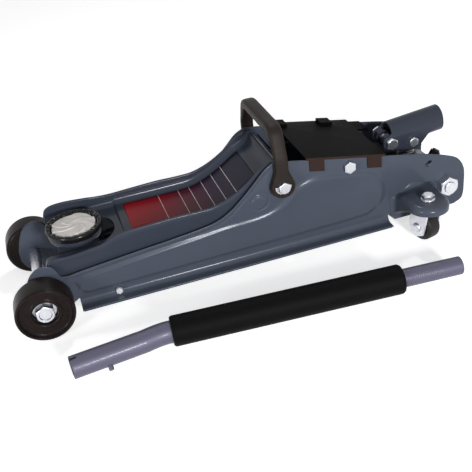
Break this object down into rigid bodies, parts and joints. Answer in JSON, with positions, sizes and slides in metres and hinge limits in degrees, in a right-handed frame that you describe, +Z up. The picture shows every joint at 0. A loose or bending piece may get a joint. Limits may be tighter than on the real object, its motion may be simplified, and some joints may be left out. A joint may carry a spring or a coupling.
{
  "type": "car jack",
  "caption": "Low-profile hydraulic trolley jack with a lift arm that keeps its saddle level, swivel casters, a carry handle and a separate pump bar with a foam grip.",
  "frame": {"origin": "middle of the base of the overall bounding box, on the floor", "axes": "+X runs from the saddle end to the handle end, +Y to the right-hand side plate, +Z up"},
  "size_m": [0.5534, 0.2994, 0.171],
  "materials": {
    "frame_paint": "semi-gloss slate paint over pressed steel",
    "zinc": "bright zinc plating",
    "black_steel": "black coated steel",
    "roller_black": "glossy black enamel on steel rollers",
    "pad_rubber": "matte grey rubber",
    "spring_steel": "oiled spring steel",
    "cover_plastic": "moulded black plastic",
    "handle_plastic": "moulded dark grey plastic",
    "tube_paint": "powder-coated steel tube",
    "grip_foam": "matte foam rubber"
  },
  "bodies": {
    "frame": {"left_side_plate": "frame_paint", "right_side_plate": "frame_paint", "front_axle": "zinc", "left_wheel_washer": "zinc", "right_wheel_washer": "zinc", "left_wheel_nut": "zinc", "right_wheel_nut": "zinc", "arm_pivot_shaft": "zinc", "cylinder_tube": "frame_paint", "cylinder_gland": "black_steel", "oil_reservoir": "frame_paint", "filler_plug": "black_steel", "pump_block": "frame_paint", "cross_bolt": "zinc", "left_cross_nut": "zinc", "right_cross_nut": "zinc", "socket_bolt": "zinc", "tie_bolt": "zinc", "tie_spacer": "zinc", "front_tie": "zinc", "top_cover": "cover_plastic", "left_carry_bolt": "zinc", "right_carry_bolt": "zinc", "left_caster_bracket": "frame_paint", "right_caster_bracket": "frame_paint", "left_return_spring": "spring_steel", "right_return_spring": "spring_steel", "pump_spring": "spring_steel"},
    "left_roller": {"left_front_wheel": "roller_black"},
    "right_roller": {"right_front_wheel": "roller_black"},
    "arm": {"lift_arm": "frame_paint", "arm_lever": "frame_paint", "ram_pin": "zinc", "saddle_pin": "zinc"},
    "saddle_head": {"saddle_bracket": "frame_paint"},
    "saddle": {"saddle_cup": "frame_paint", "saddle_ring": "black_steel", "saddle_pad": "pad_rubber"},
    "left_level_link": {"left_levelling_rod": "frame_paint"},
    "right_level_link": {"right_levelling_rod": "frame_paint"},
    "ram": {"ram_rod": "zinc"},
    "pump": {"pump_plunger": "zinc"},
    "socket": {"handle_socket": "frame_paint", "socket_roller": "zinc"},
    "valve": {"release_valve": "zinc"},
    "carry": {"carry_handle": "handle_plastic"},
    "left_caster": {"left_caster_fork": "zinc", "left_caster_axle": "zinc", "left_caster_nut": "zinc"},
    "right_caster": {"right_caster_fork": "zinc", "right_caster_axle": "zinc", "right_caster_nut": "zinc"},
    "left_caster_roller": {"left_caster_wheel": "roller_black"},
    "right_caster_roller": {"right_caster_wheel": "roller_black"},
    "handle_bar": {"lower_handle_tube": "tube_paint", "upper_handle_tube": "tube_paint", "foam_grip": "grip_foam", "handle_peg": "zinc"}
  },
  "joints": [
    {"name": "left_front_roll", "type": "hinge", "parent": "frame", "child": "left_roller", "pos_m": [-0.24425, -0.03518, 0.0325], "axis": [0, 1, 0], "continuous": true},
    {"name": "right_front_roll", "type": "hinge", "parent": "frame", "child": "right_roller", "pos_m": [-0.24425, 0.10682, 0.0325], "axis": [0, 1, 0], "continuous": true},
    {"name": "arm_lift", "type": "hinge", "parent": "frame", "child": "arm", "pos_m": [0.01375, 0.03582, 0.085], "axis": [0, 1, 0], "range_deg": [0, 60]},
    {"name": "saddle_tilt", "type": "hinge", "parent": "arm", "child": "saddle_head", "pos_m": [-0.19195, 0.03582, 0.048], "axis": [0, 1, 0], "range_deg": [-60.5, 0.5]},
    {"name": "saddle_spin", "type": "hinge", "parent": "saddle_head", "child": "saddle", "pos_m": [-0.19195, 0.03582, 0.07], "axis": [0, 0, 1], "continuous": true},
    {"name": "left_link_swing", "type": "hinge", "parent": "frame", "child": "left_level_link", "pos_m": [0.01375, -0.00268, 0.061], "axis": [0, 1, 0], "range_deg": [-0.5, 60.5]},
    {"name": "right_link_swing", "type": "hinge", "parent": "frame", "child": "right_level_link", "pos_m": [0.01375, 0.07432, 0.061], "axis": [0, 1, 0], "range_deg": [-0.5, 60.5]},
    {"name": "ram_slide", "type": "slide", "parent": "frame", "child": "ram", "axis": [-1, 0, 0], "range_m": [-0.001, 0.051], "deforming": ["left_return_spring", "right_return_spring"]},
    {"name": "socket_pump", "type": "hinge", "parent": "frame", "child": "socket", "pos_m": [0.19675, 0.03582, 0.097], "axis": [0, -1, 0], "range_deg": [0, 50]},
    {"name": "plunger_slide", "type": "slide", "parent": "frame", "child": "pump", "axis": [0, 0, 1], "range_m": [-0.001, 0.0245], "deforming": ["pump_spring"]},
    {"name": "valve_turn", "type": "hinge", "parent": "frame", "child": "valve", "pos_m": [0.25075, 0.02082, 0.058], "axis": [0.5299, 0, 0.848], "range_deg": [-360, 0]},
    {"name": "carry_swing", "type": "hinge", "parent": "frame", "child": "carry", "pos_m": [0.04075, 0.03582, 0.1015], "axis": [0, 1, 0], "range_deg": [-60, 35]},
    {"name": "bar_lift", "type": "slide", "parent": "frame", "child": "handle_bar", "axis": [0, 0, 1], "range_m": [0, 0.4]},
    {"name": "left_caster_swivel", "type": "hinge", "parent": "frame", "child": "left_caster", "pos_m": [0.20625, -0.05368, 0.05], "axis": [0, 0, 1], "continuous": true},
    {"name": "left_caster_roll", "type": "hinge", "parent": "left_caster", "child": "left_caster_roller", "pos_m": [0.20516, -0.04932, 0.0183], "axis": [-0.9703, -0.2419, 0], "continuous": true},
    {"name": "right_caster_swivel", "type": "hinge", "parent": "frame", "child": "right_caster", "pos_m": [0.20625, 0.12532, 0.05], "axis": [0, 0, 1], "continuous": true},
    {"name": "right_caster_roll", "type": "hinge", "parent": "right_caster", "child": "right_caster_roller", "pos_m": [0.20516, 0.12095, 0.0183], "axis": [0.9703, -0.2419, 0], "continuous": true}
  ],
  "couplings": [
    {"joint": "saddle_tilt", "follows": "arm_lift", "ratio": -1},
    {"joint": "left_link_swing", "follows": "arm_lift", "ratio": 1},
    {"joint": "right_link_swing", "follows": "arm_lift", "ratio": 1},
    {"joint": "ram_slide", "follows": "arm_lift", "m_per_rad": 0.047746},
    {"joint": "plunger_slide", "follows": "socket_pump", "m_per_rad": 0.027}
  ]
}
